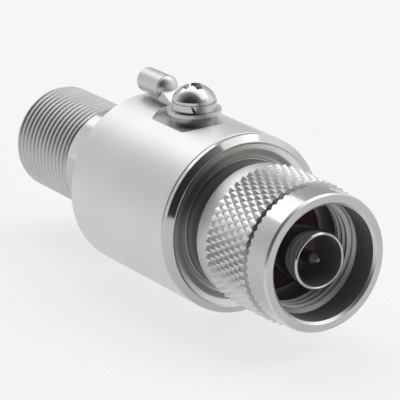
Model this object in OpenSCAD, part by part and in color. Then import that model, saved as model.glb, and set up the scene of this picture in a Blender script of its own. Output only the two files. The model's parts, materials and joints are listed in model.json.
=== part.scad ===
// Coax lightning arrestor: a jack and a plug in line, with a gas tube between the line and a ground screw.
// Millimetres. X runs along the coax axis from the jack to the plug, and Z along the ground screw.
// The origin is on the axis where the jack's thread begins, behind its lead-in.

/* [Jack end] */
// Outside diameter of the jack thread (5/8-24)
jack_thread_d = 15.88; // [15.4:0.01:16.2]
// Length of the jack thread behind its lead-in
jack_thread_len = 13.9; // [12:0.1:16]
// Lead-in chamfer at the jack end
jack_lead = 0.6; // [0.4:0.1:0.8]
// Length from the jack end to the rear face of the body
jack_len = 24.4; // [23:0.1:28]
// Diameter of the smooth collar between thread and body
jack_collar_d = 16.6; // [16.3:0.1:18]
// Bore of the jack, which takes the outer contact of a plug
jack_bore_d = 8.1; // [8.0:0.01:8.3]
// Depth of the jack bore down to the insulator
jack_bore_depth = 9.1; // [8.6:0.1:9.6]
// Depth of the socket tip below the jack end
socket_recess = 3.84; // [3.4:0.01:4.4]

/* [Body] */
// Diameter of the body
body_d = 25.7; // [25.2:0.1:28]
// Length of the body between its rear face and the seam
body_len = 24.6; // [23.6:0.1:28]
// Bore of the air line through the body
line_bore_d = 7.0; // [6.6:0.1:7.2]
// Depth of the spigot bore in the front of the body
spigot_depth = 6.2; // [5:0.1:6.6]
// Edge break at the rear of the body
body_chamfer = 0.5; // [0.2:0.05:0.8]

/* [Front cap] */
// Diameter of the spigot that enters the body
spigot_d = 19.8; // [18:0.1:20.4]
// Section diameter of the seal on the spigot
seal_d = 0.8; // [0.7:0.05:1]
// Distance from the seam back to the middle of that seal
seal_back = 2.4; // [2:0.1:2.6]
// Length of the straight lip in front of the seam
cap_lip_len = 0.8; // [0.6:0.1:1.4]
// Length of the bevel in front of the lip
cap_rim_len = 0.7; // [0.5:0.1:1]
// Diameter of the crest between the bevel and the dished face
dish_d = 23.8; // [23.2:0.1:24.4]
// Depth of the dished face at the foot of the hub
dish_depth = 0.9; // [0.6:0.1:1.1]
// Diameter of the hub that the nut runs up to
hub_d = 18.4; // [17.8:0.1:18.8]
// Length of the hub in front of the dished face
hub_len = 3.1; // [2.8:0.1:3.4]
// Diameter of the neck that the nut turns on
neck_d = 12.0; // [11.6:0.1:12.2]
// Length of the neck in front of the hub
neck_len = 4.6; // [4.4:0.1:5]

/* [Coupling nut] */
// Length of the nut
nut_len = 16.7; // [16.4:0.1:17.4]
// Diameter over the tips of the knurl
knurl_d = 20.4; // [20.3:0.1:20.8]
// Depth of the knurl
knurl_depth = 0.35; // [0.3:0.05:0.5]
// Length of the knurl
knurl_len = 8.9; // [8.4:0.1:9.4]
// Number of diamonds round the nut
knurl_count = 54; // [44:1:60]
// Number of diamonds along the nut
knurl_rows = 4; // [3.5:0.5:5]
// Diameter of the smooth band in front of the knurl
band_d = 19.4; // [18.8:0.1:19.5]
// Length of the smooth band in front of the knurl
band_len = 4.7; // [4.2:0.1:5]
// Diameter of the collar behind the knurl
collar_d = 19.2; // [18.8:0.1:19.2]
// Crest diameter of the inside thread (5/8-24)
nut_thread_d = 14.84; // [14.7:0.01:15]
// Length of the clear room behind the inside thread
relief_len = 3.6; // [3.2:0.1:3.8]
// Diameter of the counterbore in front of the inside thread
mouth_d = 16.3; // [16:0.1:16.6]
// Depth of the counterbore
mouth_depth = 4.2; // [3.8:0.1:4.6]
// Running clearance of the nut on the neck, on the radius
nut_clear = 0.06; // [0.03:0.01:0.09]
// Section width of the retaining ring, along the axis
ring_w = 0.9; // [0.7:0.05:1]

/* [Plug contacts] */
// Outside diameter of the outer contact tube
tube_d = 8.0; // [7.9:0.01:8.05]
// Inside diameter of the outer contact tube at its tip
tube_bore_d = 7.2; // [7.1:0.01:7.3]
// Depth of the tube tip below the front of the nut
tube_recess = 1.25; // [0.8:0.05:1.8]
// Length of the collar at the tube tip
tube_collar_len = 2.3; // [1.8:0.1:3]
// Length of each insulator bead
bead_len = 5.0; // [4:0.1:5.6]
// Diameter of the line conductor
conductor_d = 3.04; // [2.9:0.01:3.2]
// Diameter of the studs that join the conductor pieces through the beads
stud_d = 2.2; // [1.9:0.1:2.4]
// Diameter of the centre pin
pin_d = 1.64; // [1.6:0.01:1.68]
// Depth of the insulator face below the tube tip
bead_recess = 6.0; // [5.4:0.1:6.4]
// Depth of the pin tip below the tube tip
pin_recess = 0.3; // [0:0.1:1]
// Thickness of the rubber gasket at the foot of the tube
gasket_t = 1.0; // [0.8:0.1:1.3]

/* [Ground terminal] */
// Place of the ground screw along the axis, from the rear face of the body
screw_from_body = 13.4; // [12:0.1:14]
// Depth of the spot face below the top of the body
seat_depth = 0.85; // [0.65:0.05:1.25]
// Diameter of the spot face
seat_d = 12.0; // [10:0.1:13]
// Diameter of the gas tube
tube_gas_d = 5.0; // [4.6:0.1:5.2]
// Length of the gas tube
tube_gas_len = 5.0; // [4.6:0.1:5.2]
// Height of the flat on the conductor that the gas tube stands on
flat_z = 1.2; // [1:0.05:1.3]
// Diameter of the threaded plug over the gas tube
plug_d = 5.8; // [5.6:0.1:6]
// Diameter of the round head of that plug
plug_head_d = 6.5; // [6.3:0.1:7]
// Height of the round head of that plug
plug_head_h = 1.25; // [1:0.05:1.5]
// Height of the disc spring stack on the gas tube
spring_h = 1.4; // [1.2:0.1:1.6]
// Diameter of the ground screw
screw_d = 3.5; // [3.3:0.1:3.6]
// Thickness of the web that closes the tapped hole under the ground screw
tap_web = 0.87; // [0.7:0.01:1.5]
// Room under the tip of the ground screw
tip_room = 0.5; // [0.3:0.1:0.8]
// Diameter of the screw head
screw_head_d = 6.2; // [6:0.1:6.6]
// Height of the screw head
screw_head_h = 2.4; // [2:0.1:2.6]
// Outside diameter of the lock washer
washer_d = 6.4; // [6.2:0.1:6.8]
// Thickness of the lock washer
washer_t = 1.1; // [0.9:0.05:1.2]
// Outside diameter of the lug's ring
lug_ring_d = 7.7; // [7.2:0.1:8]
// Thickness of the lug's sheet
lug_t = 0.5; // [0.4:0.05:0.6]
// Outside diameter of the lug's wire barrel
barrel_d = 3.6; // [3.3:0.1:4]
// Bore of the lug's wire barrel
barrel_bore_d = 2.5; // [2.2:0.1:2.6]
// Length of the wire barrel
barrel_len = 5.2; // [4.6:0.1:6]
// Distance from the screw to the front end of the barrel
barrel_reach = 7.1; // [6.4:0.1:8]

/* [Hidden] */
// Smoothness of turned faces
$fn = 96;
// Gap between two pieces that are fitted together and do not turn
seat_gap = 0.03;
// Gap between the faces of pieces that turn on each other
turn_gap = 0.04;
// Overlap of cutting tools
eps = 0.1;

// Stations along the axis, from the jack end to the plug end
jack_x0 = -jack_lead;
body_x0 = jack_x0 + jack_len;
body_x1 = body_x0 + body_len;
spigot_x0 = body_x1 - spigot_depth;
rim_x = body_x1 + cap_lip_len + cap_rim_len;
dish_x = rim_x - dish_depth;
hub_x1 = dish_x + hub_len;
neck_x1 = hub_x1 + neck_len;
nut_x0 = hub_x1 + 0.1;
nut_x1 = nut_x0 + nut_len;
knurl_x1 = nut_x1 - band_len;
knurl_x0 = knurl_x1 - knurl_len;
tube_x1 = nut_x1 - tube_recess;
plug_bead_x1 = tube_x1 - bead_recess;
plug_bead_x0 = plug_bead_x1 - bead_len;
jack_bead_x0 = jack_x0 + jack_bore_depth;
jack_bead_x1 = jack_bead_x0 + bead_len;
socket_x = jack_x0 + socket_recess;
ring_x = hub_x1 + 1.6;
screw_x = body_x0 + screw_from_body;

// Heights along the ground screw
seat_z = body_d / 2 - seat_depth;
tube_gas_z1 = flat_z + tube_gas_len;
plug_z0 = tube_gas_z1 + spring_h;
plug_z1 = seat_z + plug_head_h;
lug_z0 = plug_z1 + turn_gap;
washer_z0 = lug_z0 + lug_t + turn_gap;
head_z0 = washer_z0 + washer_t + turn_gap;
barrel_z = lug_z0 + barrel_d / 2;
tapped_z = plug_z0 + tap_web;
screw_len = head_z0 - tapped_z - tip_room;

// Radii that several pieces share
neck_r = neck_d / 2;
nut_bore_r = neck_r + nut_clear;
ring_r0 = neck_r - 0.7;
ring_r1 = neck_r + 0.65;
foot_r = tube_d / 2 + 0.25;
flange_r = foot_r + 1.4;
flange_len = 1.8;
electrode_t = tube_gas_len / 5;

// A profile of [radius, x] points, turned about the coax axis
module turned(points) {
  rotate([0, 90, 0]) rotate_extrude() polygon(points);
}

// A plain ring about the coax axis
module ring(r0, r1, x0, x1) {
  turned([[r0, x0], [r1, x0], [r1, x1], [r0, x1]]);
}

// Moves what follows onto the ground screw's axis
module at_screw(z = 0) {
  translate([screw_x, 0, z]) children();
}

// Turned body with the jack at its rear, the spot face on top and the bore for the gas tube
module housing() {
  thread_r = jack_thread_d / 2;
  collar_r = jack_collar_d / 2;
  body_r = body_d / 2;
  bore_r = jack_bore_d / 2;
  line_r = line_bore_d / 2;
  color("gainsboro")
  difference() {
    turned([
      [bore_r + 0.3, jack_x0], [thread_r - jack_lead, jack_x0], [thread_r, 0], [thread_r, jack_thread_len],
      [thread_r - 0.5, jack_thread_len + 0.3], [thread_r - 0.5, jack_thread_len + 0.9],
      [collar_r - 0.2, jack_thread_len + 0.9], [collar_r, jack_thread_len + 1.1],
      [collar_r, body_x0], [body_r - body_chamfer, body_x0], [body_r, body_x0 + body_chamfer],
      [body_r, body_x1 - 0.15], [body_r - 0.15, body_x1],
      [spigot_d / 2 + seat_gap, body_x1], [spigot_d / 2 + seat_gap, spigot_x0], [line_r, spigot_x0],
      [line_r, jack_bead_x1], [bore_r, jack_bead_x1], [bore_r, jack_x0 + 0.3]
    ]);
    at_screw(seat_z) cylinder(d = seat_d, h = body_r);
    at_screw() cylinder(r = plug_d / 2 + seat_gap, h = body_r);
  }
}

// Front cap: spigot, lip, bevel, dished face, hub and the neck that carries the nut
module front_cap() {
  body_r = body_d / 2;
  crest_r = dish_d / 2;
  hub_r = hub_d / 2;
  bevel_x = body_x1 + cap_lip_len;
  seal_x = body_x1 - seal_back;
  groove_w = 1.5 * seal_d;
  groove_r = spigot_d / 2 - seal_d;
  color("silver")
  turned([
    [foot_r + seat_gap, spigot_x0 + flange_len], [flange_r + seat_gap, spigot_x0 + flange_len],
    [flange_r + seat_gap, spigot_x0], [spigot_d / 2 - 0.4, spigot_x0], [spigot_d / 2, spigot_x0 + 0.4],
    [spigot_d / 2, seal_x - groove_w / 2], [groove_r, seal_x - groove_w / 2],
    [groove_r, seal_x + groove_w / 2], [spigot_d / 2, seal_x + groove_w / 2],
    [spigot_d / 2, body_x1], [body_r - 0.15, body_x1], [body_r, body_x1 + 0.15],
    [body_r, bevel_x], [crest_r + 0.06, rim_x - 0.03], [crest_r - 0.04, rim_x],
    [hub_r + 0.2, dish_x + 0.04], [hub_r + 0.06, dish_x + 0.1], [hub_r, dish_x + 0.24],
    [hub_r, hub_x1 - 0.1], [hub_r - 0.1, hub_x1], [neck_r, hub_x1],
    [neck_r, ring_x - 0.05], [ring_r0 - 0.05, ring_x - 0.05],
    [ring_r0 - 0.05, ring_x + ring_w + 0.05], [neck_r, ring_x + ring_w + 0.05],
    [neck_r, neck_x1 - 0.4], [neck_r - 0.4, neck_x1], [foot_r + seat_gap, neck_x1]
  ]);
}

// Rubber seal in the spigot's groove
module cap_seal() {
  color("dimgray")
  translate([body_x1 - seal_back, 0, 0]) rotate([0, 90, 0])
    rotate_extrude() translate([(spigot_d - seal_d) / 2, 0]) circle(d = seal_d);
}

// Outer contact of the plug: a tube with a clamped flange at its foot and a collar at its tip
module plug_tube() {
  line_r = line_bore_d / 2;
  tube_r = tube_d / 2;
  bore_r = tube_bore_d / 2;
  waist_r = tube_r - 0.2;
  color("lightgray")
  turned([
    [line_r, spigot_x0], [flange_r, spigot_x0], [flange_r, spigot_x0 + flange_len],
    [foot_r, spigot_x0 + flange_len], [foot_r, neck_x1 + gasket_t], [waist_r, neck_x1 + gasket_t + 0.4],
    [waist_r, tube_x1 - tube_collar_len - 0.2], [tube_r, tube_x1 - tube_collar_len],
    [tube_r, tube_x1 - 0.15], [tube_r - 0.15, tube_x1], [bore_r + 0.1, tube_x1],
    [bore_r, tube_x1 - 0.1], [bore_r, plug_bead_x0], [line_r, plug_bead_x0]
  ]);
}

// A point of the knurl's grid: tips where the two indices add up even, roots where they add up odd
function knurl_point(i, j, steps) =
  let (
    r = knurl_d / 2 - (((i + j) % 2 == 0) ? 0 : knurl_depth),
    a = 180 * i / knurl_count,
    x = knurl_x0 + knurl_len * j / steps
  )
  [x, r * cos(a), r * sin(a)];

// Drum with a diamond knurl: each tip and its four neighbouring roots make one pyramid
module knurl_drum() {
  around = 2 * knurl_count;
  steps = round(2 * knurl_rows);
  rim = steps * around;
  rear_hub = rim + around;
  front_hub = rear_hub + 1;
  points = concat(
    [for (j = [0 : steps]) for (i = [0 : around - 1]) knurl_point(i, j, steps)],
    [[knurl_x0, 0, 0], [knurl_x1, 0, 0]]
  );
  even_cells = [
    for (j = [0 : steps - 1]) for (i = [0 : around - 1]) if ((i + j) % 2 == 0)
      let (a = j * around + i, b = j * around + (i + 1) % around)
      each [[a, a + around, b], [b, a + around, b + around]]
  ];
  odd_cells = [
    for (j = [0 : steps - 1]) for (i = [0 : around - 1]) if ((i + j) % 2 == 1)
      let (a = j * around + i, b = j * around + (i + 1) % around)
      each [[a, b + around, b], [a, a + around, b + around]]
  ];
  rear_face = [for (i = [0 : around - 1]) [rear_hub, i, (i + 1) % around]];
  front_face = [for (i = [0 : around - 1]) [front_hub, rim + (i + 1) % around, rim + i]];
  polyhedron(points, concat(even_cells, odd_cells, rear_face, front_face));
}

// Coupling nut: collar, diamond knurl, smooth band, and inside the thread's bore with clear room behind it
module coupling_nut() {
  collar_r = collar_d / 2;
  band_r = band_d / 2;
  thread_r = nut_thread_d / 2;
  mouth_r = mouth_d / 2;
  lead_x = nut_x1 - mouth_depth;
  lead_len = mouth_r - thread_r;
  bore_x1 = neck_x1 - 0.1;
  relief_r = thread_r + 0.6;
  color("lightsteelblue")
  difference() {
    union() {
      turned([
        [0, nut_x0], [collar_r - 0.15, nut_x0], [collar_r, nut_x0 + 0.15], [collar_r, knurl_x1 - 0.1],
        [band_r, knurl_x1 - 0.1], [band_r, nut_x1 - 0.4], [band_r - 0.2, nut_x1], [0, nut_x1]
      ]);
      knurl_drum();
    }
    turned([
      [0, nut_x0 - eps], [nut_bore_r + 0.3 + eps, nut_x0 - eps], [nut_bore_r, nut_x0 + 0.3],
      [nut_bore_r, ring_x - turn_gap], [ring_r1 + 0.1, ring_x - turn_gap],
      [ring_r1 + 0.1, ring_x + ring_w + turn_gap], [nut_bore_r, ring_x + ring_w + turn_gap],
      [nut_bore_r, bore_x1], [relief_r, bore_x1], [relief_r, bore_x1 + relief_len],
      [thread_r, bore_x1 + relief_len + 0.6], [thread_r, lead_x - lead_len], [mouth_r, lead_x],
      [mouth_r, nut_x1 - 0.35], [mouth_r + 0.35, nut_x1], [mouth_r + 0.35, nut_x1 + eps], [0, nut_x1 + eps]
    ]);
  }
}

// Split ring that keeps the nut on the neck
module retaining_ring() {
  color("darkgray")
  difference() {
    ring(ring_r0, ring_r1, ring_x, ring_x + ring_w);
    translate([ring_x - eps, -0.6, -2 * neck_r]) cube([ring_w + 2 * eps, 1.2, 2 * neck_r]);
  }
}

// Rubber gasket round the foot of the tube
module plug_gasket() {
  color("dimgray")
  ring(foot_r + seat_gap, nut_thread_d / 2 - 0.5, neck_x1, neck_x1 + gasket_t);
}

// Insulator bead of the plug
module plug_bead() {
  color("white")
  ring(stud_d / 2, tube_bore_d / 2, plug_bead_x0, plug_bead_x1);
}

// Centre pin of the plug, with the stud that passes through the bead
module centre_pin() {
  tip_x = tube_x1 - pin_recess;
  shoulder_r = conductor_d / 2;
  pin_r = pin_d / 2;
  color("gold")
  turned([
    [0, plug_bead_x0 - 3], [stud_d / 2, plug_bead_x0 - 3], [stud_d / 2, plug_bead_x1],
    [shoulder_r, plug_bead_x1], [shoulder_r, plug_bead_x1 + 0.8],
    [pin_r, plug_bead_x1 + 0.8], [pin_r, tip_x - 1.1], [0.25, tip_x - 0.1], [0, tip_x]
  ]);
}

// Line conductor, drilled at both ends for the studs and flatted under the gas tube
module line_conductor() {
  r = conductor_d / 2;
  color("goldenrod")
  difference() {
    turned([
      [0, jack_bead_x1 + 3.2], [stud_d / 2, jack_bead_x1 + 3.2], [stud_d / 2, jack_bead_x1], [r, jack_bead_x1],
      [r, plug_bead_x0], [stud_d / 2, plug_bead_x0], [stud_d / 2, plug_bead_x0 - 3.2], [0, plug_bead_x0 - 3.2]
    ]);
    translate([screw_x - tube_gas_d / 2 - 0.6, -2 * r, flat_z]) cube([tube_gas_d + 1.2, 4 * r, 2 * r]);
  }
}

// Insulator bead of the jack
module jack_bead() {
  color("white")
  ring(stud_d / 2, jack_bore_d / 2, jack_bead_x0, jack_bead_x1);
}

// Slotted socket of the jack, with the stud that passes through its bead
module jack_socket() {
  r = conductor_d / 2;
  hole_r = pin_d / 2 + 0.02;
  hole_len = 4.6;
  slot_w = 0.3;
  color("gold")
  difference() {
    turned([
      [hole_r + 0.15, socket_x], [r - 0.15, socket_x], [r, socket_x + 0.15], [r, jack_bead_x0],
      [stud_d / 2, jack_bead_x0], [stud_d / 2, jack_bead_x1 + 3], [0, jack_bead_x1 + 3],
      [0, socket_x + hole_len], [hole_r, socket_x + hole_len], [hole_r, socket_x + 0.15]
    ]);
    for (a = [0, 90]) rotate([a, 0, 0])
      translate([socket_x - eps, -slot_w / 2, -r - eps]) cube([4 + eps, slot_w, 2 * (r + eps)]);
  }
}

// Ceramic shell of the gas tube
module gas_tube_shell() {
  color("ivory")
  at_screw(flat_z + electrode_t)
  difference() {
    cylinder(d = tube_gas_d - 0.2, h = tube_gas_len - 2 * electrode_t);
    translate([0, 0, -eps]) cylinder(d = tube_gas_d - 1.6, h = tube_gas_len);
  }
}

// One cupped electrode of the gas tube, its face at z = 0 and its boss upwards
module electrode() {
  gap = 0.8;
  cylinder(d = tube_gas_d, h = electrode_t);
  cylinder(d = tube_gas_d - 2.4, h = (tube_gas_len - gap) / 2);
}

// Electrode that stands on the line conductor
module gas_tube_lower_electrode() {
  color("silver") at_screw(flat_z) electrode();
}

// Electrode under the disc springs
module gas_tube_upper_electrode() {
  color("silver") at_screw(tube_gas_z1) mirror([0, 0, 1]) electrode();
}

// Two coned disc springs, rim to rim, that press the gas tube on the line
module disc_springs() {
  r0 = tube_gas_d / 4;
  r1 = tube_gas_d / 2 + 0.1;
  t = 0.35;
  half = spring_h / 2;
  color("slategray")
  at_screw(tube_gas_z1) {
    rotate_extrude() polygon([[r0, 0], [r1, half - t], [r1, half], [r0, t]]);
    rotate_extrude() polygon([[r0, spring_h - t], [r1, half], [r1, half + t], [r0, spring_h]]);
  }
}

// Threaded plug that closes the gas tube's bore and takes the ground screw
module gas_tube_plug() {
  plug_r = plug_d / 2;
  head_r = plug_head_d / 2;
  seal_z = seat_z - 0.9;
  tapped_r = screw_d / 2 + 0.05;
  color("silver")
  at_screw()
  rotate_extrude() polygon([
    [0, plug_z0], [plug_r - 0.3, plug_z0], [plug_r, plug_z0 + 0.3], [plug_r, seal_z - 0.45],
    [plug_r - 0.6, seal_z - 0.45], [plug_r - 0.6, seal_z + 0.45], [plug_r, seal_z + 0.45], [plug_r, seat_z],
    [head_r, seat_z], [head_r, plug_z1 - 0.15], [head_r - 0.15, plug_z1],
    [tapped_r, plug_z1], [tapped_r, tapped_z], [0, tapped_z]
  ]);
}

// Rubber seal in the plug's groove
module plug_seal() {
  r = 0.3;
  color("dimgray")
  at_screw(seat_z - 0.9) rotate_extrude() translate([plug_d / 2 - 0.6 + r, 0]) circle(r = r);
}

// Ground screw with a domed head and a cross recess
module ground_screw() {
  head_r = screw_head_d / 2;
  skirt = 0.4;
  dome = screw_head_h - skirt;
  dome_r = (head_r * head_r + dome * dome) / (2 * dome);
  cross_w = 1.0;
  color("whitesmoke")
  at_screw(head_z0)
  difference() {
    union() {
      intersection() {
        cylinder(r = head_r, h = screw_head_h);
        translate([0, 0, screw_head_h - dome_r]) sphere(r = dome_r);
      }
      translate([0, 0, -screw_len + 0.4]) cylinder(d = screw_d, h = screw_len);
      translate([0, 0, -screw_len]) cylinder(d1 = screw_d - 0.8, d2 = screw_d, h = 0.4);
    }
    intersection() {
      translate([0, 0, screw_head_h - 1.5]) cylinder(r1 = 0.5, r2 = 2.2, h = 1.6);
      union() for (a = [0, 90]) rotate([0, 0, a])
        translate([-head_r, -cross_w / 2, 0]) cube([2 * head_r, cross_w, screw_head_h + eps]);
    }
  }
}

// Split lock washer, flattened under the head
module lock_washer() {
  r0 = screw_d / 2 + 0.15;
  r1 = washer_d / 2;
  color("lightgray")
  at_screw(washer_z0)
  difference() {
    cylinder(r = r1, h = washer_t);
    translate([0, 0, -eps]) cylinder(r = r0, h = washer_t + 2 * eps);
    rotate([0, 0, -35]) translate([(r0 + r1) / 2, 0, washer_t / 2]) rotate([25, 0, 0])
      cube([r1, 0.35, 3 * washer_t], center = true);
  }
}

// Ring lug: a flat ring, a tongue that rises to a domed nose, and a tube for the ground wire
module ground_lug() {
  r = barrel_d / 2;
  dome_r = 0.97 * r;
  dome_h = 0.6 * r;
  front = -barrel_reach;
  rear = front - barrel_len;
  tongue_w = 1.5 * r;
  wire_len = barrel_len - 0.7;
  color("linen")
  at_screw()
  difference() {
    union() {
      translate([0, 0, lug_z0]) cylinder(d = lug_ring_d, h = lug_t);
      translate([front, -tongue_w / 2, lug_z0]) cube([barrel_reach, tongue_w, lug_t]);
      translate([rear, 0, barrel_z]) rotate([0, 90, 0]) cylinder(r = r, h = barrel_len);
      translate([front, 0, barrel_z]) rotate([0, 90, 0]) rotate_extrude() polygon(concat(
        [[0, -0.2], [dome_r, -0.2]], [for (a = [0 : 10 : 80]) [dome_r * cos(a), dome_h * sin(a)]], [[0, dome_h]]
      ));
      hull() {
        translate([front - 0.1, -tongue_w / 2, lug_z0]) cube([0.35 * r, tongue_w, r]);
        translate([front, -tongue_w / 2, lug_z0]) cube([1.7 * r, tongue_w, lug_t]);
      }
    }
    translate([0, 0, lug_z0 - eps]) cylinder(r = screw_d / 2 + 0.15, h = lug_t + 2 * eps);
    translate([rear - eps, 0, barrel_z]) rotate([0, 90, 0]) cylinder(d = barrel_bore_d, h = wire_len + eps);
    washer_room();
  }
}

// Room for the lock washer above the lug's ring
module washer_room() {
  translate([0, 0, lug_z0 + lug_t]) cylinder(d = washer_d + 0.6, h = barrel_d);
}

housing();
front_cap();
cap_seal();
plug_tube();
coupling_nut();
retaining_ring();
plug_gasket();
plug_bead();
centre_pin();
line_conductor();
jack_bead();
jack_socket();
gas_tube_shell();
gas_tube_lower_electrode();
gas_tube_upper_electrode();
disc_springs();
gas_tube_plug();
plug_seal();
ground_screw();
lock_washer();
ground_lug();
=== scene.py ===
"""Coax lightning arrestor: the finishes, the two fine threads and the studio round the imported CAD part.

The CAD solids carry every main form, the knurl included. This script cuts the turns of the jack's thread and
of the nut's thread into copies of their nodes, gives every piece its metal, rubber or ceramic, and sets the
camera and the light of the photograph.
"""

import json
import math

import bmesh
import bpy
from mathutils import Matrix, Vector


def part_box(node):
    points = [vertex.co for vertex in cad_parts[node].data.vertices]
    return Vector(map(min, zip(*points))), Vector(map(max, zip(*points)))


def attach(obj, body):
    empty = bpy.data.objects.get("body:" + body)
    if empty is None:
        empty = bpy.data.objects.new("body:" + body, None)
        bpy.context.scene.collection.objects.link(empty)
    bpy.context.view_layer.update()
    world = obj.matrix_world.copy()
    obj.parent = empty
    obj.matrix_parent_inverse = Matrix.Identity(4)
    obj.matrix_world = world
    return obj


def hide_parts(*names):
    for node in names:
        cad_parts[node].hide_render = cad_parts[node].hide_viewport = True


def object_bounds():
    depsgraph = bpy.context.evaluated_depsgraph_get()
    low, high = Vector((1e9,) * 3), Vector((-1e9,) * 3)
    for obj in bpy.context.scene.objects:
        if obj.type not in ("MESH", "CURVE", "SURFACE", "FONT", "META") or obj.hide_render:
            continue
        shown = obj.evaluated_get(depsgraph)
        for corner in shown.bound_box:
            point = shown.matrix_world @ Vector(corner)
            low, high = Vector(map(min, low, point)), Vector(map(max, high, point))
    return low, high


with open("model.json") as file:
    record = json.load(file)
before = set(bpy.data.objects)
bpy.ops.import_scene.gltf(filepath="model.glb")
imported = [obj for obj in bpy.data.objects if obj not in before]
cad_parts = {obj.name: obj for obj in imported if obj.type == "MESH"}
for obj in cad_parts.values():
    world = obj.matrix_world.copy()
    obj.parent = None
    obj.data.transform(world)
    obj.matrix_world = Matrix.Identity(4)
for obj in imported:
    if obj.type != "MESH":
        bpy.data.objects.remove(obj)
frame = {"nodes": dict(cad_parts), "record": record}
cad_bounds = [list(corner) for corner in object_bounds()]

MM = 0.001
MOUNTS = {mount["name"]: mount for mount in frame["record"]["mounts"]}
SLOTS = {part["node"]: part["material_slot"] for part in frame["record"]["subparts"]}


# Stations and sizes read from the frame, in metres

JACK_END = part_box("housing")[0].x
BODY_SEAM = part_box("housing")[1].x
NECK_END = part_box("front_cap")[1].x
NUT_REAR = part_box("coupling_nut")[0].x
NUT_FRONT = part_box("coupling_nut")[1].x
KNURL_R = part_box("coupling_nut")[1].y
FLOOR_Z = cad_bounds[0][2]

# Sizes that the frame doesn't state by itself
BODY_LEN = 24.6 * MM
TUBE_BORE_R = 3.6 * MM
DISH_R = 11.9 * MM
HUB_R = 9.2 * MM
KNURL_DEPTH = 0.45 * MM
NUT_WALL = 1.0 * MM
NUT_MOUTH_R = 8.15 * MM
NUT_COLLAR_LEN = 3.1 * MM
NUT_EDGE = 0.8 * MM
NUT_MOUTH_DEPTH = 4.2 * MM
NUT_RELIEF = 3.5 * MM

# The 5/8-24 thread of jack and nut, with the shares of the pitch that are flat at the crest and at the root
THREAD_PITCH = 25.4 / 24 * MM
JACK_CREST, JACK_ROOT = 0.40, 0.12
JACK_THREAD_R = MOUNTS["jack_thread"]["dims"]["r_mm"] * MM
JACK_THREAD_LEN = MOUNTS["jack_thread"]["dims"]["length_mm"] * MM
JACK_THREAD_DEPTH = 0.40 * MM
JACK_RUNOUT = 0.3 * MM
JACK_THREAD_END = JACK_THREAD_LEN + JACK_RUNOUT
NUT_CREST, NUT_ROOT = 0.18, 0.24
NUT_THREAD_R = MOUNTS["coupling_thread"]["dims"]["r_mm"] * MM
NUT_THREAD_DEPTH = 0.6 * MM
NUT_THREAD_START = NECK_END + NUT_RELIEF
NUT_THREAD_END = NUT_FRONT - NUT_MOUTH_DEPTH

# How finely the threads are drawn, and how faces are told apart
THREAD_COLUMNS = 144
ROWS_PER_STRETCH = 3
SHARP_EDGE = math.radians(25)
WELD = 1e-7
WALL_SLACK = 0.01 * MM
EDGE_SLACK = 0.02 * MM
SLANTED, FLAT = 0.2, 0.95

# The photograph's camera
VIEW_AIM = Vector((38.4, 0.0, 0.49)) * MM
VIEW_DISTANCE = 383.6 * MM
VIEW_AZIMUTH = math.radians(-32.87)
VIEW_ELEVATION = math.radians(18.75)
VIEW_ROLL = math.radians(-0.66)
SENSOR = 36.0
LENS = 243.7
NEAR_CLIP = 0.01

# The light table, and the softbox over it
TABLE_GLOW = 0.72
TABLE_HALF = 3.0
TABLE_GAP = 0.02 * MM
SOFTBOX_PLACE = (-0.13, 0.19, 0.60)
SOFTBOX_TURN = math.radians(22)
SOFTBOX_SIZE = (1.60, 0.56)
SOFTBOX_POWER = 2.9

# The room's brightness, by how far a direction points to the dark side behind the camera
TOWARD_DARK = Vector((0.539, -0.77, 0.342)).normalized()
ROOM_LEVELS = [
    (0.0, 1.22), (0.04, 1.02), (0.12, 0.68), (0.35, 0.40),
    (0.55, 0.24), (0.70, 0.11), (0.82, 0.05), (0.95, 0.04),
]

# The far left corner: where its dimming sets in and is full, and the room's strength there
TOWARD_CORNER = Vector((-0.84, 0.54, 0.0))
CORNER_REACH = (0.3, 1.0)
CORNER_STRENGTH = (1.05, 0.42)


# Small helpers

def linear(code):
    """An sRGB hex colour as linear RGBA."""
    values = [int(code[i:i + 2], 16) / 255 for i in (1, 3, 5)]
    return tuple(v / 12.92 if v <= 0.04045 else ((v + 0.055) / 1.055) ** 2.4 for v in values) + (1.0,)


def add(tree, kind, settings=None, **inputs):
    """Adds a node. Settings are its own fields; inputs are sockets, given a value or the output to link."""
    made = tree.nodes.new(kind)
    for field, value in (settings or {}).items():
        setattr(made, field, value)
    for name, value in inputs.items():
        socket = made.inputs[int(name[1:])] if name[1:].isdigit() else made.inputs[name.replace("_", " ")]
        if isinstance(value, bpy.types.NodeSocket):
            tree.links.new(value, socket)
        else:
            socket.default_value = value
    return made


def ramp(tree, factor, stops):
    """A colour ramp through (place, linear colour) stops."""
    made = add(tree, "ShaderNodeValToRGB", Fac=factor)
    elements = made.color_ramp.elements
    while len(elements) < len(stops):
        elements.new(0.5)
    for element, (place, colour) in zip(elements, stops):
        element.position = place
        element.color = colour
    return made.outputs["Color"]


def between(tree, value, low, high, at_low, at_high):
    """A value that runs from at_low to at_high while another one runs from low to high."""
    made = add(tree, "ShaderNodeMapRange", _0=value, _1=low, _2=high, _3=at_low, _4=at_high)
    return made.outputs["Result"]


def blend(tree, share, first, second):
    """A colour that goes over from the first to the second."""
    return add(tree, "ShaderNodeMix", {"data_type": "RGBA"}, _0=share, _6=first, _7=second).outputs[2]


def noise(tree, place, size, detail):
    """Soft noise whose clouds are about the given size in millimetres."""
    return add(tree, "ShaderNodeTexNoise", Vector=place, Scale=1 / size, Detail=detail).outputs["Fac"]


def rings(tree, distance, feed, detail):
    """Noise along one distance only, as the rings that a tool leaves at its feed in millimetres."""
    made = add(tree, "ShaderNodeTexNoise", {"noise_dimensions": "1D"}, W=distance, Scale=1 / feed, Detail=detail)
    return made.outputs["Fac"]


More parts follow.
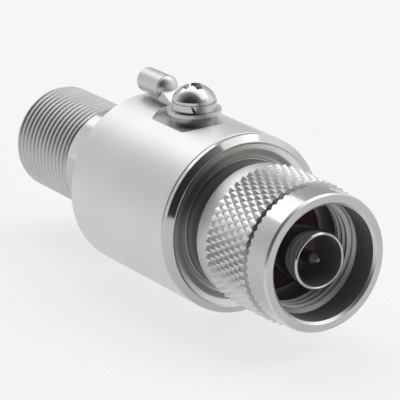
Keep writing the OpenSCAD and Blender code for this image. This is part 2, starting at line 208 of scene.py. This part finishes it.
def relief(tree, height, depth, strength, **under):
    """The normal of a fine relief, of a depth in millimetres."""
    made = add(tree, "ShaderNodeBump", Strength=strength, Distance=depth * MM, Height=height, **under)
    return made.outputs["Normal"]


# Materials

def new_material(name, metallic=0.0):
    """An empty material with its shader, and the piece's own coordinates in millimetres."""
    material = bpy.data.materials.new(name)
    material.use_nodes = True
    tree = material.node_tree
    shader = tree.nodes["Principled BSDF"]
    shader.inputs["Metallic"].default_value = metallic
    place = add(tree, "ShaderNodeTexCoord").outputs["Object"]
    millimetres = add(tree, "ShaderNodeVectorMath", {"operation": "SCALE"}, _0=place, Scale=1 / MM)
    return material, tree, shader, millimetres.outputs["Vector"]


def dress(shader, **outputs):
    """Links each output to the shader's socket of that name."""
    for name, output in outputs.items():
        shader.id_data.links.new(output, shader.inputs[name.replace("_", " ")])


def dressed_with(shader, name):
    """The output that a socket of the shader is linked to."""
    return shader.inputs[name].links[0].from_socket


def turned_metal(name, light, dark, roughness, spread=0.03, feed=0.3, depth=0.004, strength=0.1):
    """Plated metal off a lathe: rings round the coax axis at the tool's feed, and plate that clouds slightly."""
    material, tree, shader, mm = new_material(name, metallic=1.0)
    station = add(tree, "ShaderNodeSeparateXYZ", Vector=mm).outputs["X"]
    turning = rings(tree, station, feed, 2.0)
    clouds = noise(tree, mm, 5.0, 3.0)
    dress(
        shader,
        Base_Color=ramp(tree, clouds, [(0.35, linear(dark)), (0.65, linear(light))]),
        Roughness=between(tree, turning, 0.25, 0.75, roughness - spread, roughness + spread),
        Normal=relief(tree, turning, depth, strength),
    )
    return material


def grained(name, light, dark, size, detail, roughness, depth, strength, metallic=0.0, low=0.3):
    """A surface with one grain in its colour and its relief, and in its gloss where roughness is a range."""
    high = 0.7
    material, tree, shader, mm = new_material(name, metallic)
    grain = noise(tree, mm, size, detail)
    dress(
        shader,
        Base_Color=ramp(tree, grain, [(low, linear(dark)), (high, linear(light))]),
        Normal=relief(tree, grain, depth, strength),
    )
    if isinstance(roughness, tuple):
        dress(shader, Roughness=between(tree, grain, low, high, *roughness))
    else:
        shader.inputs["Roughness"].default_value = roughness
    return material


def axis_radius(tree):
    """Distance from the coax axis in millimetres, for a node that is turned about it."""
    place = add(tree, "ShaderNodeTexCoord").outputs["Object"]
    across = add(tree, "ShaderNodeVectorMath", {"operation": "MULTIPLY"}, _0=place, _1=(0, 1 / MM, 1 / MM))
    length = add(tree, "ShaderNodeVectorMath", {"operation": "LENGTH"}, _0=across.outputs["Vector"])
    return length.outputs["Value"]


def cap_nickel():
    # The front cap: the bright plate on its lip and bevel. Its dish is face-turned, so that fine rings round the
    # axis smear the highlights outwards. They are drawn at 0.8 mm, coarser than the tool's feed, so that they show.
    # On the hub, which lies in the nut's shade, the plate is painted a darker grey: painted shade.
    ring_feed, ring_depth, ring_strength, dish_roughness = 0.8, 0.35, 0.45, 0.34
    material = turned_metal("front_cap_nickel_plate", "#c2c1bf", "#bab9b7", roughness=0.11, strength=0.2)
    tree = material.node_tree
    shader = tree.nodes["Principled BSDF"]
    radius = axis_radius(tree)
    in_dish = between(tree, radius, DISH_R / MM - 0.3, DISH_R / MM - 0.1, 1.0, 0.0)
    # Painted shade: the hub, in the nut's shade, is painted a darker grey than the rest of the cap.
    painted_shade_on_hub = between(tree, radius, HUB_R / MM + 0.05, HUB_R / MM + 0.4, 1.0, 0.0)
    facing = rings(tree, radius, ring_feed, 0.0)
    height = add(tree, "ShaderNodeMath", {"operation": "MULTIPLY"}, _0=facing, _1=in_dish).outputs["Value"]
    gloss = add(
        tree, "ShaderNodeMix", {"data_type": "FLOAT"},
        _0=in_dish, _2=dressed_with(shader, "Roughness"), _3=dish_roughness,
    )
    turned = blend(tree, in_dish, dressed_with(shader, "Base Color"), linear("#e2e1df"))
    dress(
        shader,
        Base_Color=blend(tree, painted_shade_on_hub, turned, linear("#7b7a78")),
        Roughness=gloss.outputs[0],
        Normal=relief(tree, height, ring_depth, ring_strength, Normal=dressed_with(shader, "Normal")),
    )
    return material


def tube_nickel():
    # The plug's contact tube: bright plate outside and on its rim, and the matt plate of a plain bore inside.
    rim_roughness, bore_roughness = 0.12, 0.50
    material = turned_metal("contact_tube_nickel_plate", "#bfbebc", "#b6b5b3", rim_roughness, strength=0.2)
    tree = material.node_tree
    shader = tree.nodes["Principled BSDF"]
    radius = axis_radius(tree)
    inner, outer = TUBE_BORE_R / MM + 0.02, TUBE_BORE_R / MM + 0.08
    outside = between(tree, radius, inner, outer, 0.0, 1.0)
    dress(
        shader,
        Base_Color=blend(tree, outside, linear("#bab8b6"), dressed_with(shader, "Base Color")),
        Roughness=between(tree, radius, inner, outer, bore_roughness, rim_roughness),
    )
    return material


# By material slot, or by node or surface where a slot has more than one finish. The lathe's rings are drawn at 0.25 to
# 0.4 mm throughout: the tool's feed of about 0.1 mm is finer than a pixel.
FINISHES = {
    # Nickel plate over fine-turned, lightly blasted brass: one broad soft highlight with hardly a mark in it.
    "satin_nickel": turned_metal(
        "satin_nickel_plate", "#dadad9", "#d7d7d6", roughness=0.41, spread=0.005, feed=0.4, depth=0.0018,
    ),
    # Bright nickel plate over turned brass: mirror-like, with the lathe's rings just breaking the reflections.
    "bright_nickel": turned_metal("bright_nickel_plate", "#c2c1bf", "#bab9b7", roughness=0.11, strength=0.2),
    # Bright zinc with a clear passivate on rolled steel: a shade bluer than nickel, with soft blurred highlights.
    "zinc_plate": grained(
        "zinc_plate", "#c8c8c8", "#bcbdbd", size=0.6, detail=3.0, roughness=(0.18, 0.23),
        depth=0.003, strength=0.1, metallic=1.0,
    ),
    # Tin plate on formed copper sheet: soft, slightly warm white metal with a fine orange-peel grain.
    "tinned_copper": grained(
        "tinned_copper", "#d0cfce", "#c9c8c7", size=0.5, detail=3.0, roughness=(0.34, 0.42),
        depth=0.008, strength=0.1, metallic=1.0,
    ),
    # Blued-grey hardened wire and disc: darker than plate, with a drawn, streaky sheen.
    "spring_steel": turned_metal("spring_steel", "#8c8d90", "#77787b", roughness=0.32, spread=0.05),
    # Thin hard gold over nickel on the contacts: warm, smooth and bright, with faint turning rings.
    "gold_plate": turned_metal(
        "gold_plate", "#e2c27c", "#d8b66c", roughness=0.16, spread=0.04, feed=0.25, depth=0.003,
    ),
    # Silver flash on the pin, the conductor and the electrodes: softly matte, and painted a darker grey than clean
    # silver, as painted shade for the pin deep inside the contact tube.
    "silver_plate": turned_metal("silver_plate", "#807e7a", "#716f6b", roughness=0.34, spread=0.04, depth=0.003),
    # Moulded dark polymer bead: a grey brown with a waxy sheen and faint flow clouds.
    "insulator": grained(
        "dark_moulded_insulator", "#6e6665", "#625a59", size=1.5, detail=2.0, roughness=0.45,
        depth=0.01, strength=0.15,
    ),
    # Unglazed alumina of the gas tube: chalky white with a fine fired grain.
    "white_ceramic": grained(
        "unglazed_alumina", "#f1eee8", "#e6e2da", size=0.25, detail=2.0, roughness=0.6, depth=0.01, strength=0.3,
    ),
    # Moulded silicone rubber, dark maroon: matte, with a slight bloom.
    "seal_rubber": grained(
        "moulded_rubber", "#523236", "#462a2d", size=0.8, detail=3.0, roughness=0.62,
        depth=0.01, strength=0.3, low=0.35,
    ),
    "front_cap": cap_nickel(),
    "plug_tube": tube_nickel(),
    # The plug over the gas tube: nickel plate, slightly dulled and a shade darker than the lug.
    "gas_tube_plug": turned_metal("dull_dark_nickel_plate", "#a3a2a0", "#989795", roughness=0.24),
    # The plate on the jack's thread: duller than on the turned walls, so that its turns melt into one soft sheen.
    "jack_thread": turned_metal("rolled_thread_nickel_plate", "#c8c8c6", "#c1c1bf", roughness=0.42, spread=0.02),
    # The plate on the rolled knurl: the roll leaves its facets soft and a little dull, so each one glows evenly.
    # Laid on the nut's collar and front chamfer as well, its lighter tone is painted light there.
    "knurl": turned_metal("knurled_nickel_plate", "#d9d9d7", "#d1d1cf", roughness=0.38, spread=0.04),
    # The plate inside the nut's mouth and on its thread: bored, not polished, so it shades evenly from dark to grey.
    "nut_bore": turned_metal("bored_nickel_plate", "#c9c8c6", "#bfbebc", roughness=0.52, depth=0.006),
}
for name, part in frame["nodes"].items():
    part.data.materials.clear()
    part.data.materials.append(FINISHES.get(name) or FINISHES[SLOTS[name]])


# Threads

def thread_rows(crest, root):
    """Rows of one pitch as (phase, share): share runs from 0 at the thread's root to 1 at its crest."""
    flank = (1 - crest - root) / 2
    corners = [(0, 1), (crest, 1), (crest + flank, 0), (1 - flank, 0), (1, 1)]
    rows = []
    for (low, near), (high, far) in zip(corners, corners[1:]):
        for i in range(ROWS_PER_STRETCH):
            part = i / ROWS_PER_STRETCH
            rows.append((low + (high - low) * part, near + (far - near) * part))
    return rows


def add_thread(mesh, shape, start, end, radius, inside):
    """Adds a right-handed thread's wall to a mesh; radius(x, share) is its distance from the axis.

    The rows follow the helix, so the crests stay crisp, and they close up into plain rings at both ends.
    """
    rows = len(shape)
    turns = math.ceil((end - start) / THREAD_PITCH) + 2
    grid = []
    for row in range(turns * rows):
        turn, step = divmod(row, rows)
        phase, share = shape[step]
        ring = []
        for column in range(THREAD_COLUMNS):
            angle = 2 * math.pi * column / THREAD_COLUMNS
            x = start + THREAD_PITCH * (turn - 1 + phase + column / THREAD_COLUMNS)
            x = min(max(x, start), end)
            r = radius(x, share)
            ring.append(mesh.verts.new((x, r * math.cos(angle), r * math.sin(angle))))
        grid.append(ring)
    faces = []
    for row in range((turns - 1) * rows - 1):
        for column in range(THREAD_COLUMNS):
            # The last column joins the first one a whole turn further along the helix
            after = (column + 1) % THREAD_COLUMNS
            shift = 0 if after else rows
            corners = [
                grid[row][column], grid[row + shift][after],
                grid[row + 1 + shift][after], grid[row + 1][column],
            ]
            face = mesh.faces.new(corners[::-1] if inside else corners)
            face.smooth = True
            faces.append(face)
    points = [point for ring in grid for point in ring]
    bmesh.ops.remove_doubles(mesh, verts=points, dist=WELD)
    return [face for face in faces if face.is_valid]


def threaded_copy(node, name, is_wall, shape, start, end, radius, inside):
    """A copy of a CAD node in which the plain wall of a thread gives way to the thread's turns."""
    data = frame["nodes"][node].data.copy()
    mesh = bmesh.new()
    mesh.from_mesh(data)
    bmesh.ops.delete(mesh, geom=[face for face in mesh.faces if is_wall(face)], context="FACES")
    wall = add_thread(mesh, shape, start, end, radius, inside)
    for edge in {edge for face in wall for edge in face.edges}:
        edge.smooth = not edge.is_manifold or edge.calc_face_angle(0.0) < SHARP_EDGE
    mesh.to_mesh(data)
    mesh.free()
    data.name = name
    piece = bpy.data.objects.new(name, data)
    bpy.context.scene.collection.objects.link(piece)
    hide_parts(node)
    return piece


def axis_distance(point):
    """Distance of a point from the coax axis."""
    return math.hypot(point.y, point.z)


def on_wall(face, x0, x1, r0, r1):
    """Whether a face lies wholly on the turned wall between two stations and two radii."""
    return abs(face.normal.x) < FLAT and all(
        x0 - WALL_SLACK < v.co.x < x1 + WALL_SLACK
        and r0 - WALL_SLACK < axis_distance(v.co) < r1 + WALL_SLACK
        for v in face.verts
    )


def jack_radius(x, share):
    """The jack's thread, cut off by its lead-in and by its runout."""
    thread = JACK_THREAD_R - JACK_THREAD_DEPTH * (1 - share)
    lead = JACK_THREAD_R + min(x, 0)
    runout = JACK_THREAD_R - JACK_THREAD_DEPTH * max(x - JACK_THREAD_LEN, 0) / JACK_RUNOUT
    return min(thread, lead, runout)


def nut_radius(x, share):
    """The nut's thread, opened out by the cone at each end."""
    thread = NUT_THREAD_R + NUT_THREAD_DEPTH * (1 - share)
    rear = NUT_THREAD_R + NUT_THREAD_DEPTH - (x - NUT_THREAD_START)
    front = NUT_MOUTH_R - (NUT_THREAD_END - x)
    return max(thread, rear, front)


housing = threaded_copy(
    "housing", "housing_with_jack_thread",
    lambda face: on_wall(face, JACK_END, JACK_THREAD_END, JACK_THREAD_R + JACK_END, JACK_THREAD_R),
    thread_rows(JACK_CREST, JACK_ROOT), JACK_END, JACK_THREAD_END, jack_radius, False,
)
SATIN_BODY, BRIGHT_JACK, JACK_TURNS = range(3)
housing.data.materials.append(FINISHES["bright_nickel"])
housing.data.materials.append(FINISHES["jack_thread"])
for face in housing.data.polygons:
    if face.center.x < JACK_THREAD_END and axis_distance(face.center) > JACK_THREAD_R + JACK_END:
        face.material_index = JACK_TURNS
    elif face.center.x < BODY_SEAM - BODY_LEN - EDGE_SLACK:
        face.material_index = BRIGHT_JACK
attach(housing, "arrestor")

nut = threaded_copy(
    "coupling_nut", "coupling_nut_with_thread",
    lambda face: on_wall(face, NUT_THREAD_START, NUT_THREAD_END, NUT_THREAD_R, NUT_MOUTH_R),
    thread_rows(NUT_CREST, NUT_ROOT), NUT_THREAD_START, NUT_THREAD_END, nut_radius, True,
)
BRIGHT_BAND, KNURL_AND_PAINTED_LIGHT, DULL_BORE = range(3)
nut.data.materials.append(FINISHES["knurl"])
nut.data.materials.append(FINISHES["nut_bore"])
for face in nut.data.polygons:
    r = axis_distance(face.center)
    knurl = r > KNURL_R - KNURL_DEPTH
    collar = r > NUT_MOUTH_R + NUT_WALL and face.center.x < NUT_REAR + NUT_COLLAR_LEN
    painted_light_chamfer = face.center.x > NUT_FRONT - NUT_EDGE and SLANTED < face.normal.x < FLAT
    # Painted light: the collar and the front chamfer take the knurl's lighter plate, so that they read lit.
    if knurl or collar or painted_light_chamfer:
        face.material_index = KNURL_AND_PAINTED_LIGHT
    elif r < NUT_MOUTH_R + EDGE_SLACK:
        face.material_index = DULL_BORE
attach(nut, "nut")


# Studio

def place_camera():
    """The camera, set round the point it looks at."""
    data = bpy.data.cameras.new("camera")
    data.sensor_width = SENSOR
    data.lens = LENS
    data.clip_start = NEAR_CLIP
    camera = bpy.data.objects.new("camera", data)
    away = Vector((
        math.cos(VIEW_ELEVATION) * math.cos(VIEW_AZIMUTH),
        math.cos(VIEW_ELEVATION) * math.sin(VIEW_AZIMUTH),
        math.sin(VIEW_ELEVATION),
    ))
    stand = Matrix.Translation(VIEW_AIM + VIEW_DISTANCE * away)
    turn = (-away).to_track_quat("-Z", "Y").to_matrix().to_4x4()
    camera.matrix_world = stand @ turn @ Matrix.Rotation(VIEW_ROLL, 4, "Z")
    bpy.context.scene.collection.objects.link(camera)
    bpy.context.scene.camera = camera


def light_table():
    # A light table's opal sheet: an even white floor that glows enough to take most of the shadow away.
    material, tree, shader, mm = new_material("opal_sheet")
    tooth = noise(tree, mm, 2.0, 2.0)
    dress(shader, Base_Color=ramp(tree, tooth, [(0.3, linear("#7d7d7c")), (0.7, linear("#808080"))]))
    shader.inputs["Roughness"].default_value = 0.9
    shader.inputs["Specular IOR Level"].default_value = 0.1
    shader.inputs["Emission Color"].default_value = (1, 1, 1, 1)
    shader.inputs["Emission Strength"].default_value = TABLE_GLOW
    return material


def lay_floor():
    """A wide light table that the body rests on."""
    mesh = bmesh.new()
    bmesh.ops.create_grid(mesh, x_segments=1, y_segments=1, size=TABLE_HALF)
    data = bpy.data.meshes.new("floor")
    mesh.to_mesh(data)
    mesh.free()
    floor = bpy.data.objects.new("floor", data)
    floor.location.z = FLOOR_Z - TABLE_GAP
    floor.data.materials.append(light_table())
    bpy.context.scene.collection.objects.link(floor)


def hang_softbox():
    """A rectangular softbox that faces straight down."""
    data = bpy.data.lights.new("top_softbox", "AREA")
    data.shape = "RECTANGLE"
    data.size, data.size_y = SOFTBOX_SIZE
    data.energy = SOFTBOX_POWER
    lamp = bpy.data.objects.new("top_softbox", data)
    lamp.location = SOFTBOX_PLACE
    lamp.rotation_euler.z = SOFTBOX_TURN
    bpy.context.scene.collection.objects.link(lamp)


def paint_room():
    """The room round the object: dark behind the camera, pale elsewhere and dimmer in the far left corner."""
    world = bpy.data.worlds.new("studio")
    world.use_nodes = True
    tree = world.node_tree
    direction = add(tree, "ShaderNodeTexCoord").outputs["Generated"]

    def toward(aim):
        made = add(tree, "ShaderNodeVectorMath", {"operation": "DOT_PRODUCT"}, _0=direction, _1=aim)
        return made.outputs["Value"]

    walls = ramp(tree, toward(TOWARD_DARK), [(place, (level, level, level, 1)) for place, level in ROOM_LEVELS])
    dimming = between(tree, toward(TOWARD_CORNER), *CORNER_REACH, *CORNER_STRENGTH)
    dress(tree.nodes["Background"], Color=walls, Strength=dimming)
    bpy.context.scene.world = world


place_camera()
lay_floor()
paint_room()
hang_softbox()
bpy.context.scene.view_settings.view_transform = "Standard"
